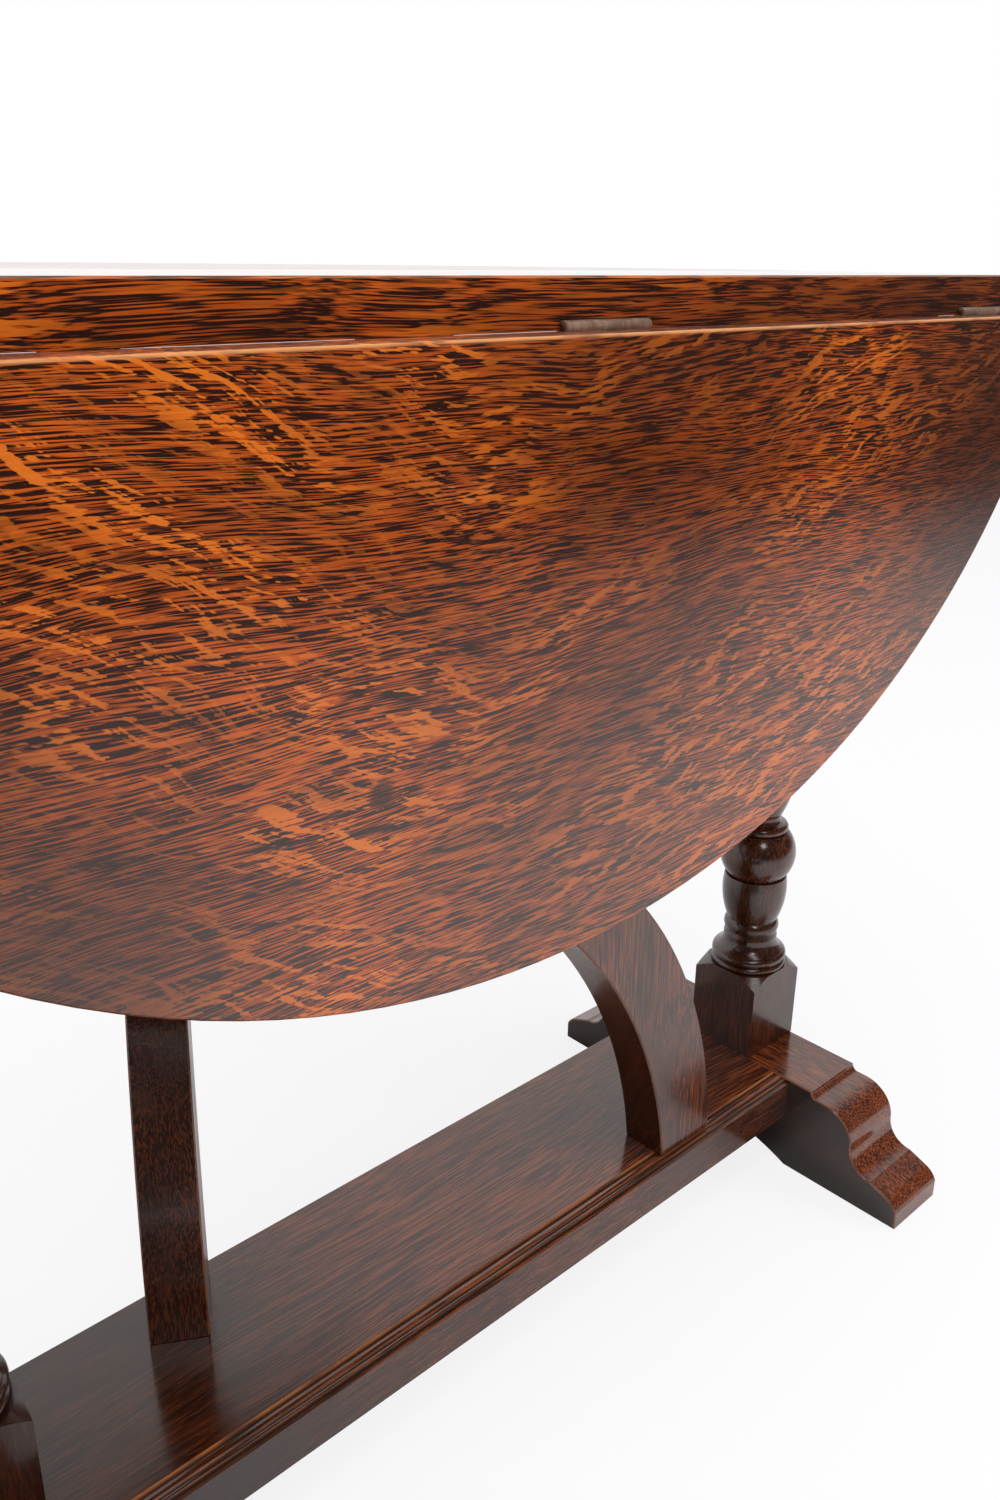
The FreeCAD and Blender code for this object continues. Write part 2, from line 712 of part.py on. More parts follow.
def wing_outline():
    """A swan-necked wing: narrow foot, S-curved free edge, wide head and a scalloped pivot edge."""
    half = size("wing_base_width") / 2
    reach = size("wing_reach")
    free_bend = (reach * FREE_EDGE_SHARES[0], WING_HEIGHT * FREE_EDGE_SHARES[1])
    pivot_bend = (reach * PIVOT_EDGE_SHARES[0], WING_HEIGHT * PIVOT_EDGE_SHARES[1])
    tip_low = (reach, WING_HEIGHT - size("wing_tip_height"))
    ear_low = (-half, WING_HEIGHT - size("wing_ear_height"))
    outline = Outline((-half, 0)).line((half, 0)).head(90 - size("wing_base_lean"))
    outline.arc(free_bend, tip_low).line((reach, WING_HEIGHT), (reach - size("wing_tip_land"), WING_HEIGHT))
    outline.bow((size("wing_scoop_start"), WING_HEIGHT), SCOOP_SHARE).line((-half, WING_HEIGHT), ear_low)
    outline.head(0).arc(pivot_bend, (-half, 0))
    return outline


def make_wing(side):
    """One wing with its two steel pivot pins."""
    name = f"{side}_wing"
    body = padded(name + "_blank", "XZ_Plane", wing_outline(), "Sizes.wing_thickness")
    seat = size("pivot_pin_seat")
    reach = size("pivot_pin_reach")
    radius = size("pivot_pin_radius")
    hole = radius + size("pivot_seat_fit")
    over = size("cut_overrun")
    holes = [round_bar(hole, seat + over, (0, 0, -over), Z_AXIS),
             round_bar(hole, seat + over, (0, 0, WING_HEIGHT - seat), Z_AXIS)]
    placement = FreeCAD.Placement(wing_pivot(side), FreeCAD.Rotation(Z_AXIS, WING_YAW[side]))
    wing = cut(name, eased(name + "_eased", body, Y_AXIS), holes)
    wing.Placement = placement
    keep(wing, name)
    pins = {"lower": (-size("wing_foot_gap") - reach, seat + size("wing_foot_gap") + reach),
            "upper": (WING_HEIGHT - seat, seat + size("wing_head_gap") + reach)}
    for level, (start, length) in pins.items():
        pin = doc.addObject("Part::Cylinder", f"{name}_{level}_pin")
        pin.Height = length
        bind(pin, Radius="Sizes.pivot_pin_radius")
        pin.Placement = FreeCAD.Placement(placement.multVec(FreeCAD.Vector(0, 0, start)), placement.Rotation)
        keep(pin, f"{name}_{level}_pin")


make_top_board()
for leaf_side in ("front", "back"):
    make_leaf(leaf_side)
    make_hinges(leaf_side)
    make_wing(leaf_side)
make_platform()
for end_name, end_sign in (("left", -1), ("right", 1)):
    make_foot(end_name, end_sign)
    make_column(end_name, end_sign)
    make_bearer(end_name, end_sign)
    keep(solid_group(f"platform_dowels_{end_name}", dowels(end_sign)), f"platform_dowels_{end_name}")
doc.recompute()

failed = [thing.Name for thing in doc.Objects if {"Invalid", "Error"} & set(thing.State)]
for node in nodes:
    if node.Shape.isNull() or not node.Shape.isValid() or not node.Shape.Solids:
        failed.append(node.Label)
if failed:
    raise RuntimeError("not built: " + ", ".join(failed))

os.makedirs("parts", exist_ok=True)
for node in nodes:
    node.Shape.exportStep(f"parts/{node.Label}.step")
    print(node.Label, len(node.Shape.Solids), round(node.Shape.Volume))
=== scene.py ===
import math
from collections import namedtuple

import bpy
import numpy as np
from mathutils import Matrix, Vector

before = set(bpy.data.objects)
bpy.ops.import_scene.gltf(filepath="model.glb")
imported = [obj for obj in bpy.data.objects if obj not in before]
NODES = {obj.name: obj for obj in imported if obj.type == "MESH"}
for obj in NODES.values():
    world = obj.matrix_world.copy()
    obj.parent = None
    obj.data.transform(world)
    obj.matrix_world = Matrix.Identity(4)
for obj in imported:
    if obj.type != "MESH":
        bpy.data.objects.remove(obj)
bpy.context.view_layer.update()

bl_info = {
    "name": "Butterfly Table Looks",
    "version": (1, 0, 0),
    "blender": (4, 5, 0),
    "location": "View3D > Sidebar > Table",
    "description": "Polished oak, worn hinges and a white studio for an oval table with swinging wings",
    "category": "Object",
}

MM = 0.001
QUARTER = math.radians(90)


def linear(hex_colour):
    """A colour written as sRGB hex, as linear red, green and blue."""
    channels = [int(hex_colour[i:i + 2], 16) / 255 for i in (1, 3, 5)]
    return [c / 12.92 if c <= 0.04045 else ((c + 0.055) / 1.055) ** 2.4 for c in channels]


def colour(name, description, hex_colour):
    """A colour property whose default is written as sRGB hex."""
    return bpy.props.FloatVectorProperty(
        name=name, description=description, subtype="COLOR", size=3, min=0, max=1, default=linear(hex_colour))


def number(name, description, default, low, high, **kind):
    """A plain number property."""
    return bpy.props.FloatProperty(
        name=name, description=description, default=default, min=low, max=high, **kind)


class TABLE_PG_top_oak(bpy.types.PropertyGroup):
    """Quarter-sawn oak of the top and leaves; sizes in millimetres."""

    pore: colour("Pores", "Stain held in the open pores", "#2a1007")
    ground: colour("Ground", "Wood between the pores", "#c05514")
    ray: colour("Rays", "Smooth ray flecks", "#d56d1b")
    shade: colour("Shade", "Clouds where the stain took more", "#2c1209")
    bare: colour("Bare arris", "Wood where the polish has rubbed off", "#d08a4a")
    pore_length: number("Pore length", "Length of a pore line along the grain", 20, 2, 200)
    pore_pitch: number("Pore pitch", "Half the distance from one pore line to the next", 0.65, 0.3, 10)
    ray_length: number("Ray length", "Length of a ray fleck", 17, 2, 200)
    ray_width: number("Ray width", "Width of a ray fleck", 3, 0.5, 40)
    ray_share: number("Ray share", "How strongly the ray flecks show", 0.9, 0, 1, subtype="FACTOR")
    polish: number("Polish", "Roughness of the shellac film", 0.14, 0.02, 1, subtype="FACTOR")
    film: number("Film", "Thickness of the shellac, as a share of a full coat", 0.45, 0, 1, subtype="FACTOR")


class TABLE_PG_base_oak(bpy.types.PropertyGroup):
    """Darker oak of the base and wings; sizes in millimetres."""

    pore: colour("Pores", "Stain held in the open pores", "#3c1a10")
    ground: colour("Ground", "Wood between the pores", "#8c4727")
    ray: colour("Rays", "Ray flecks that the stain left lighter", "#b0581f")
    # this colour also serves as painted shade: on the feet's sides, the left column, the platform's marks and
    # quirks
    shade: colour("Shade", "Clouds where the stain took more", "#1a0b06")
    bare: colour("Bare arris", "Wood where the polish has rubbed off", "#a9602a")
    pore_length: number("Pore length", "Length of a pore line along the grain", 40, 2, 200)
    pore_pitch: number("Pore pitch", "Half the distance from one pore line to the next", 0.75, 0.3, 10)
    ray_length: number("Ray length", "Length of a ray fleck", 20, 2, 200)
    ray_width: number("Ray width", "Width of a ray fleck", 1.5, 0.5, 40)
    ray_share: number("Ray share", "How strongly the ray flecks show", 0.34, 0, 1, subtype="FACTOR")
    polish: number("Polish", "Roughness of the shellac film", 0.16, 0.02, 1, subtype="FACTOR")
    film: number("Film", "Thickness of the shellac, as a share of a full coat", 0.5, 0, 1, subtype="FACTOR")


class TABLE_PG_hardware(bpy.types.PropertyGroup):
    """Finish of the hinges, pins, screws and dowels."""

    brass: colour("Brass", "Worn brass of the knuckles", "#c9a48e")
    tarnish: colour("Tarnish", "Brown tarnish in the low places", "#5a3c30")
    steel: colour("Steel", "Dull steel of pins and screws", "#7a7571")
    beech: colour("Beech", "Plain beech of the dowels", "#c79a68")


class TABLE_PG_studio(bpy.types.PropertyGroup):
    """White studio and the camera."""

    floor: colour("Floor", "White floor", "#fdfcfd")
    floor_glow: number("Floor glow", "How far the paper fills its own shadows", 0.86, 0, 1, subtype="FACTOR")
    ambient: number("Ambient", "Strength of the white room on the table", 0.42, 0, 5)
    key: number("Key lamp", "Power of the large soft lamp above", 34, 0, 1000, unit="POWER")
    fill: number("Fill lamp", "Power of the soft lamp in front, at the right", 32, 0, 1000, unit="POWER")
    catch: number("Catch light", "Power of the small lamp seen in the turnings", 5, 0, 1000, unit="POWER")
    lens: number("Lens", "Focal length on a 36 mm frame", 30.614, 10, 200, unit="CAMERA")


def add(tree, kind, *terms, out=0, stops=(), **values):
    """Add one shader node and return one of its outputs.

    The terms go to its sockets in order. A value named for a property sets it, and any other goes to the
    socket of that name, with underscores for spaces, or of that number, as in6. An output given for a
    socket is linked to it. stops are a grey ramp's places and levels.
    """
    node = tree.nodes.new("ShaderNode" + kind)
    given = dict(enumerate(terms))
    for name, value in values.items():
        if hasattr(node, name):
            setattr(node, name, value)
        else:
            given[int(name[2:]) if name[2:].isdigit() else name.replace("_", " ")] = value
    for name, value in given.items():
        socket = node.inputs[name]
        if isinstance(value, bpy.types.NodeSocket):
            tree.links.new(value, socket)
        else:
            socket.default_value = (*value, 1) if socket.type == "RGBA" else value
    for place_number, (place, level) in enumerate(stops):
        points = node.color_ramp.elements
        point = points[place_number] if place_number < len(points) else points.new(place)
        point.position = place
        point.color = (level, level, level, 1)
    return node.outputs[out] if node.outputs else None


def new_tree(owner):
    """An empty node tree for a material or a world."""
    owner.use_nodes = True
    owner.node_tree.nodes.clear()
    return owner.node_tree


# A pattern's seed moves it by this much along the three axes, in patches, so that no two look alike.
SEED_STEP = (7.3, 3.1, 5.7)
PATCH_ROUGHNESS = 0.55


def patches(tree, place, sizes, detail, seed):
    """Noise whose patches have the given sizes along the three axes, in millimetres."""
    scaled = add(tree, "Mapping", Vector=place, Scale=[1 / (size * MM) for size in sizes],
                 Location=[step * seed for step in SEED_STEP])
    return add(tree, "TexNoise", Vector=scaled, Scale=1, Detail=detail, Roughness=PATCH_ROUGHNESS)


# A wooden piece: turn lays its grain along the board frame's X, thick is the object axis through the
# board, joint is the way its unpolished joint edge faces, bend is the spread, tilt and middle (in
# metres) of the ray flecks, long stretches the figure along the grain, stain is how far the piece is
# darkened, partly its own stain and partly painted shade, the field after it is how far its two faces
# are darkened beyond that as painted shade, or lightened as painted light where it is below nought,
# wear is how far its arrises have lost their polish, and rough scales the roughness of its film.
Piece = namedtuple("Piece", "node turn thick joint bend long stain grime wear rough seed")

FLAT = (0, 0, 0)
TOP_PIECES = (
    Piece("front_leaf", (-QUARTER, 0, 0), (0, 1, 0), (0, 0, 1), (0.5, -0.2, -0.07), 1, 0, 0, 0.1, 1, 1.0),
    Piece("back_leaf", FLAT, (0, 0, 1), (0, -1, 0), (-0.4, 0.1, 0.05), 1, 0.1, 0, 0.3, 0.8, 2.3),
    Piece("top_board", FLAT, (0, 0, 1), FLAT, FLAT, 2.5, 0.12, 0, 0.2, 0.4, 3.7),
)
BASE_PIECES = (
    # the platform's top is lightened as painted light
    Piece("platform", FLAT, (0, 0, 1), FLAT, FLAT, 1, 0.55, -0.55, 0.9, 1, 4.1),
    # the feet's two sides are darkened as painted shade
    Piece("foot_left", (0, 0, -QUARTER), (1, 0, 0), FLAT, FLAT, 0.5, 0.05, 0.8, 0.4, 1.2, 5.9),
    Piece("foot_right", (0, 0, -QUARTER), (1, 0, 0), FLAT, FLAT, 0.5, 0.05, 0.8, 0.4, 1.2, 6.2),
    # the left column is darkened more than the right one as painted shade, for it stands in shade
    Piece("column_left", (0, QUARTER, 0), FLAT, FLAT, FLAT, 0.6, 0.9, 0, 0, 1.4, 7.6),
    Piece("column_right", (0, QUARTER, 0), FLAT, FLAT, FLAT, 0.6, 0.65, 0, 0, 1.4, 8.4),
    Piece("bearer_left", (0, 0, -QUARTER), (1, 0, 0), FLAT, FLAT, 1, 0.4, 0, 0.2, 1, 9.5),
    Piece("bearer_right", (0, 0, -QUARTER), (1, 0, 0), FLAT, FLAT, 1, 0.4, 0, 0.2, 1, 10.8),
)
WING_OPEN = math.radians(60)
WING_PIECES = (
    # the front wing's two broad faces are lightened a little as painted light
    Piece("front_wing", (0, QUARTER, 0), (0, 1, 0), FLAT, FLAT, 1, 0.6, -0.2, 0.3, 1.2, 11.3),
    Piece("back_wing", (0, QUARTER, 0), (-math.sin(WING_OPEN), math.cos(WING_OPEN), 0), FLAT, FLAT,
          0.7, 0.55, 0, 0.3, 1.4, 12.7),
)

# Marks on a piece: centre, inner and outer radius in metres and strength. The leaf's first is a small
# round knot, and its others are soft darker clouds that leave its upper left brightest; the board's
# darkens its right end; the platform's are painted shade: a painted dark reflection over its left end,
# and the wing's painted shadow and dark reflection beside the wing's foot at the right.
MARKS = {
    "front_leaf": (
        ((-0.103, -0.179, 0.353), 0.003, 0.0075, 0.85),
        ((-0.24, -0.179, 0.31), 0.03, 0.14, 0.75),
        ((0.34, -0.179, 0.42), 0.06, 0.20, 0.85),
        ((0.05, -0.179, 0.49), 0.01, 0.14, 0.5),
        ((0.0, -0.179, 0.38), 0.03, 0.16, 0.35),
        ((0.16, -0.179, 0.36), 0.05, 0.22, 0.2),
        ((0.0, -0.179, 0.26), 0.02, 0.12, 0.3),
    ),
    "top_board": (
        ((0.22, -0.161, 0.508), 0.05, 0.32, 0.6),
    ),
    "platform": (
        # painted shade: a painted dark reflection at the left, the wing's painted shadow beside its foot
        ((-0.22, -0.09, 0.061), 0.06, 0.2, 0.75),
        ((0.16, -0.1, 0.061), 0.01, 0.1, 0.5),
    ),
}
# Painted shade darkens the quirks beside a piece's reeds, which run along X at these places on Y, in metres.
QUIRK_SHADE = {"platform": (-0.13315, -0.13835, -0.14115)}
# Sizes of the patterns in the oak along, across and through the board, in millimetres.
WANDER_SIZE = (170, 80, 80)
SWAY_SIZE = (55, 32, 32)
CROWD_SIZE = (38, 13, 30)
RAY_DRIFT_SIZE = (110, 40, 60)
CLOUD_SIZE = (240, 90, 90)
RUB_SIZE = (26, 8, 8)
FILM_SIZE = (50, 16, 16)
# Places and levels of the grey ramps.
PORE_LEVELS = ((0.53, 0), (0.57, 0.35), (0.63, 0.85), (0.71, 1))
FLECK_LEVELS = ((0.69, 0), (0.74, 1))
ARRIS_LEVELS = ((0.06, 0), (0.2, 1))
RUB_LEVELS = ((0.36, 0.35), (0.56, 1))
# How far the grain wanders and the rays sway, and the radius that rounds the vee of the rays, in metres.
WANDER_REACH = (0, 0.025, 0.01)
SWAY_FIGURED = 0.022
SWAY_PLAIN = 0.006
VEE_RADIUS = 0.09
# How much a pattern counts where it is added to another, and how dark the clouds and the wax are.
CROWD_WEIGHT = 0.12
RUN_WEIGHT = 0.45
RAY_WEIGHT = 0.85
# How much a pattern counts where it is added to another, and how dark the clouds and the painted shade in the
# quirks are.
CLOUD_DEPTH = 0.3
QUIRK_SHADE_DEPTH = 0.95
# How far from the middle of a quirk the painted shade is full and where it ends, and the pores' depth and
# strength.
QUIRK_SHADE_INNER = 0.3 * MM
QUIRK_SHADE_OUTER = 1.1 * MM
PORE_DEPTH = 0.12 * MM
PORE_BUMP = 0.25
# Roughness that the joint edge and the arrises add. Shellac's own index is about 1.52, and a little more
# gives the shine of this old, thick film.
BARE_JOINT_ROUGHNESS = 0.6
ARRIS_ROUGHNESS = 1.5
WOOD_IOR = 1.52
SHELLAC_IOR = 1.6
SHELLAC_ROUGHNESS = 0.1


def polished_oak(name, oak, piece):
    """Quarter-sawn oak, stained and French polished.

    The open pores hold dark stain in short lines along the grain, the rays are smooth paler flecks in
    slanting drifts, and the shellac film gives a wet shine that has rubbed off along the arrises.
    """
    material = bpy.data.materials.new(name)
    tree = new_tree(material)
    seed = piece.seed
    spot = add(tree, "TexCoord", out="Object")
    normal = add(tree, "TexCoord", out="Normal")
    board = add(tree, "Mapping", Vector=spot, Rotation=piece.turn)
    # the grain wanders by a few millimetres over a hand's length
    wide = add(tree, "Mapping", Vector=board, Location=(seed, seed, seed),
               Scale=[1 / (size * MM) for size in WANDER_SIZE])
    noise = add(tree, "TexNoise", out="Color", Vector=wide, Scale=1, Detail=1)
    wander = add(tree, "VectorMath", noise, (0.5, 0.5, 0.5), operation="SUBTRACT")
    grain = add(tree, "VectorMath", wander, WANDER_REACH, board, operation="MULTIPLY_ADD")
    # a real pore is too fine to show here, so its line is drawn wider
    pores = patches(tree, grain, (piece.long * oak.pore_length, oak.pore_pitch, oak.pore_pitch), 1.5, seed)
    # the rays follow a rounded vee across the board, and the grain breaks their edges
    spread, tilt, middle = piece.bend
    along = add(tree, "SeparateXYZ", grain, out="X")
    off = add(tree, "Math", along, middle, operation="SUBTRACT")
    arm = add(tree, "Math", off, off, VEE_RADIUS ** 2, operation="MULTIPLY_ADD")
    arm = add(tree, "Math", arm, operation="SQRT")
    slope = add(tree, "Math", along, tilt, operation="MULTIPLY")
    rise = add(tree, "Math", arm, spread, slope, operation="MULTIPLY_ADD")
    bowed = add(tree, "VectorMath", grain, add(tree, "CombineXYZ", Y=rise), operation="SUBTRACT")
    swing = SWAY_FIGURED if spread else SWAY_PLAIN
    sway = add(tree, "Math", patches(tree, board, SWAY_SIZE, 1, seed + 5.1), swing, operation="MULTIPLY")
    bowed = add(tree, "VectorMath", bowed, add(tree, "CombineXYZ", Y=sway), operation="ADD")
    # the pores crowd together in some places and thin out in others
    crowds = patches(tree, bowed, CROWD_SIZE, 1, seed + 2.9)
    crowded = add(tree, "Math", crowds, CROWD_WEIGHT, pores, operation="MULTIPLY_ADD")
    wood = add(tree, "ValToRGB", crowded, stops=PORE_LEVELS)
    ray_length = piece.long * oak.ray_length
    rays = patches(tree, bowed, (ray_length, oak.ray_width, oak.ray_width), 2, seed + 0.5)
    rays = add(tree, "Math", rays, RAY_WEIGHT, operation="MULTIPLY")
    runs = patches(tree, grain, (0.7 * ray_length, 0.35 * oak.ray_width, 0.35 * oak.ray_width), 1, seed + 0.9)
    broken = add(tree, "Math", runs, RUN_WEIGHT, rays, operation="MULTIPLY_ADD")
    flecks = add(tree, "ValToRGB", broken, stops=FLECK_LEVELS)
    drifts = add(tree, "ValToRGB", patches(tree, bowed, RAY_DRIFT_SIZE, 1, seed + 1.7),
                 stops=((0.44, 0.25 * oak.ray_share), (0.6, oak.ray_share)))
    flecks = add(tree, "Math", flecks, drifts, operation="MULTIPLY")
    tone = add(tree, "Mix", wood, in6=oak.pore, in7=oak.ground, data_type="RGBA", out=2)
    # broad clouds of darker stain, and painted shade on the two faces, or painted light where that field is
    # below nought; the flecks lie over them, and fade where they are darkest
    facing = add(tree, "VectorMath", normal, piece.thick, operation="DOT_PRODUCT", out="Value")
    square = add(tree, "Math", facing, facing, operation="MULTIPLY")
    clouds = add(tree, "ValToRGB", patches(tree, board, CLOUD_SIZE, 2, seed + 2.1),
                 stops=((0.36, min(1, piece.stain + CLOUD_DEPTH)), (0.58, piece.stain)))
    clouds = add(tree, "Math", square, piece.grime, clouds, operation="MULTIPLY_ADD", use_clamp=True)
    tone = add(tree, "Mix", clouds, in6=tone, in7=oak.shade, data_type="RGBA", out=2)
    fade = add(tree, "MapRange", clouds, 0.3, 0.9, 1, 0.1)
    flecks = add(tree, "Math", flecks, fade, operation="MULTIPLY")
    tone = add(tree, "Mix", flecks, in6=tone, in7=oak.ray, data_type="RGBA", out=2)
    # each mark darkens towards the shade colour; the platform's marks are painted shade
    for centre, inner, outer, strength in MARKS.get(piece.node, ()):
        reach = add(tree, "VectorMath", spot, centre, operation="DISTANCE", out="Value")
        mark = add(tree, "MapRange", reach, inner, outer, strength, 0, interpolation_type="SMOOTHSTEP")
        tone = add(tree, "Mix", mark, in6=tone, in7=oak.shade, data_type="RGBA", out=2)
    # faces that slant between the board's face and its edge are arrises, where the film has rubbed off,
    # most of all beside the joint edge
    slant = add(tree, "Math", square, square, operation="MULTIPLY")
    slant = add(tree, "Math", square, slant, operation="SUBTRACT")
    arris = add(tree, "ValToRGB", slant, stops=ARRIS_LEVELS)
    joint = add(tree, "VectorMath", normal, piece.joint, operation="DOT_PRODUCT", out="Value")
    worn = add(tree, "Math", joint, 0, operation="MAXIMUM")
    worn = add(tree, "Math", worn, piece.wear, operation="ADD", use_clamp=True)
    rubs = add(tree, "ValToRGB", patches(tree, board, RUB_SIZE, 2, seed + 3.3), stops=RUB_LEVELS)
    rubbed = add(tree, "Math", arris, rubs, operation="MULTIPLY")
    rubbed = add(tree, "Math", rubbed, worn, operation="MULTIPLY")
    tone = add(tree, "Mix", rubbed, in6=tone, in7=oak.bare, data_type="RGBA", out=2)
    # painted shade along the quirks beside the reeds, on faces that look up
    for quirk in QUIRK_SHADE.get(piece.node, ()):
        off = add(tree, "Math", add(tree, "SeparateXYZ", spot, out="Y"), quirk, operation="SUBTRACT")
        off = add(tree, "Math", off, operation="ABSOLUTE")
        full = add(tree, "MapRange", off, QUIRK_SHADE_INNER, QUIRK_SHADE_OUTER, QUIRK_SHADE_DEPTH, 0)
        upward = add(tree, "MapRange", facing, 0.02, 0.15, 0, 1)
        quirk_shaded = add(tree, "Math", full, upward, operation="MULTIPLY")
        tone = add(tree, "Mix", quirk_shaded, in6=tone, in7=oak.shade, data_type="RGBA", out=2)
    # the film is uneven by a few centimetres, and there is none on the joint edge
    polish = oak.polish * piece.rough
    film = patches(tree, board, FILM_SIZE, 3, seed + 4.2)
    gloss = add(tree, "MapRange", film, 0.3, 0.7, 0.7 * polish, 1.5 * polish)
    unpolished = add(tree, "MapRange", joint, 0.75, 0.95, 0, BARE_JOINT_ROUGHNESS)
    gloss = add(tree, "Math", gloss, unpolished, operation="ADD")
    gloss = add(tree, "Math", slant, ARRIS_ROUGHNESS, gloss, operation="MULTIPLY_ADD")
    bump = add(tree, "Bump", Height=pores, Strength=PORE_BUMP * piece.rough, Distance=PORE_DEPTH)
    shader = add(tree, "BsdfPrincipled", Base_Color=tone, Roughness=gloss, Normal=bump, IOR=WOOD_IOR,
                 Coat_Weight=oak.film, Coat_Roughness=SHELLAC_ROUGHNESS * piece.rough, Coat_IOR=SHELLAC_IOR)
    add(tree, "OutputMaterial", Surface=shader)
    return material


# Sizes of tarnish blotches, draw lines and beech flecks along the three axes, in millimetres. Real draw
# lines are too fine to show here, so these are about a millimetre wide.
BLOTCH_SIZE = (7, 4, 4)
DRAW_LINE_SIZE = (1.1, 12, 12)
BEECH_FLECK_SIZE = (4, 0.7, 0.7)
FINE_DEPTH = 0.1 * MM
FINE_BUMP = 0.2
BEECH_ROUGHNESS = 0.65


def worn_metal(name, bare, tarnish, share, roughness, metallic=1):
    """Old brass or steel: polished by use on the high places, brown tarnish elsewhere, fine draw lines."""
    material = bpy.data.materials.new(name)
    tree = new_tree(material)
    spot = add(tree, "TexCoord", out="Object")
    blotch = patches(tree, spot, BLOTCH_SIZE, 3, 1.0)
    lines = patches(tree, spot, DRAW_LINE_SIZE, 2, 2.0)
    brown = add(tree, "ValToRGB", blotch, stops=((0.38, share), (0.64, 0.05)))
    tone = add(tree, "Mix", brown, in6=bare, in7=tarnish, data_type="RGBA", out=2)
    drawn = add(tree, "ValToRGB", lines, stops=((0.35, 0.4), (0.6, 0)))
    tone = add(tree, "Mix", drawn, in6=tone, in7=tarnish, data_type="RGBA", out=2)
    gloss = add(tree, "MapRange", blotch, 0.3, 0.7, roughness, 1.6 * roughness)
    bump = add(tree, "Bump", Height=lines, Strength=FINE_BUMP, Distance=FINE_DEPTH)
    shader = add(tree, "BsdfPrincipled", Base_Color=tone, Roughness=gloss, Normal=bump, Metallic=metallic)
    add(tree, "OutputMaterial", Surface=shader)
    return material


def plain_beech(name, wood):
    """Turned beech, unpolished: pale, dull, with short darker flecks along the dowel."""
    material = bpy.data.materials.new(name)
    tree = new_tree(material)
    spot = add(tree, "TexCoord", out="Object")
    flecks = patches(tree, spot, BEECH_FLECK_SIZE, 2, 1.0)
    share = add(tree, "ValToRGB", flecks, stops=((0.56, 0), (0.7, 0.7)))
    dark = [0.5 * channel for channel in wood]
    tone = add(tree, "Mix", share, in6=wood, in7=dark, data_type="RGBA", out=2)
    bump = add(tree, "Bump", Height=flecks, Strength=FINE_BUMP, Distance=FINE_DEPTH)
    shader = add(tree, "BsdfPrincipled", Base_Color=tone, Roughness=BEECH_ROUGHNESS, Normal=bump)
    add(tree, "OutputMaterial", Surface=shader)
    return material


def dress(names, material):
    """Give CAD nodes one material."""
    for name in names:
        slots = NODES[name].data.materials
        slots.clear()
        slots.append(material)


class TABLE_OT_top(bpy.types.Operator):
    """French polished oak on the centre board and both leaves"""

    bl_idname = "table.top"
    bl_label = "Oval top"

    def execute(self, context):
        for piece in TOP_PIECES:
            oak = context.scene.table_top_oak
            dress([piece.node], polished_oak(f"french_polished_oak_{piece.node}", oak, piece))
        return {"FINISHED"}


class TABLE_OT_base(bpy.types.Operator):
    """Dark polished oak on the platform, feet, columns and bearers"""

    bl_idname = "table.base"
    bl_label = "Base"

    def execute(self, context):
        for piece in BASE_PIECES:
            oak = context.scene.table_base_oak
            dress([piece.node], polished_oak(f"dark_polished_oak_{piece.node}", oak, piece))
        return {"FINISHED"}


class TABLE_OT_wings(bpy.types.Operator):
    """Dark polished oak on the two swinging wings"""

    bl_idname = "table.wings"
    bl_label = "Wings"

    def execute(self, context):
        for piece in WING_PIECES:
            oak = context.scene.table_base_oak
            dress([piece.node], polished_oak(f"dark_polished_oak_{piece.node}", oak, piece))
        return {"FINISHED"}


class TABLE_OT_hardware(bpy.types.Operator):
    """Worn brass hinges, dull steel pins and screws, plain beech dowels"""

    bl_idname = "table.hardware"
    bl_label = "Hinges and fixings"

    def execute(self, context):
        look = context.scene.table_hardware
        # old lacquer and dirt lie over the brass, so part of its light is scattered
        dress([n for n in NODES if n.endswith("_plate")],
              worn_metal("worn_cast_brass", look.brass, look.tarnish, share=0.5, roughness=0.3, metallic=0.6))
        dress([n for n in NODES if n.endswith("_pin") or "screws" in n],
              worn_metal("dull_drawn_steel", look.steel, look.tarnish, share=0.5, roughness=0.38))
        dress([n for n in NODES if "dowels" in n], plain_beech("plain_turned_beech", look.beech))
        return {"FINISHED"}


# Places in metres, angles in degrees. The camera was fitted to the table's edges in the photograph.
CAMERA_PLACE = (-0.3449, -0.49515, 0.523)
CAMERA_YAW, CAMERA_PITCH, CAMERA_ROLL = 46.895, 21.16, 0.715
LAMP_AIM = (0, -0.1, 0.3)
KEY_PLACE, KEY_SIZE = (-0.5, -0.3, 2.1), 2.2
FILL_PLACE, FILL_SIZE = (1.6, -2.0, 1.2), 1.4
CATCH_PLACE, CATCH_SIZE = (-0.9, -1.7, 1.7), 0.6
FLOOR_HALF = 3
# The way that daylight comes from, the cosines between which it grows, and its least and most, as shares
# of the ambient light.
WINDOW, WINDOW_LOW, WINDOW_HIGH = (0.45, 0.85, 0.3), -0.4, 0.6
DAYLIGHT_LEAST, DAYLIGHT_MOST = 0.3, 2
# In the gloss alone: where the floor, painted dark in its reflections, ends in front of the table, the
# dark disc painted on the floor beside the camera as a painted dark reflection, the heading of the white
# backdrop and the cosines between which it fades, the height where the dark ceiling begins, as the sine
# of its angle, and how much of the light the dark parts keep.
FLOOR_END, FLOOR_START = -1.6, -0.6
FLOOR_MIRRORED = 0.75
PAINTED_DARK_DISC_PLACE, PAINTED_DARK_DISC_INNER, PAINTED_DARK_DISC_OUTER = (-0.5, -0.45, 0), 0.28, 0.44
MIRROR_DARK = 0.05
BACKDROP, BACKDROP_LOW, BACKDROP_HIGH = (0.1, 0.99, 0), -0.2, 0.35
ROOM_DARK = 0.06
CEILING_LOW, CEILING_HIGH, CEILING_DARK = 0.7, 0.84, 0.08


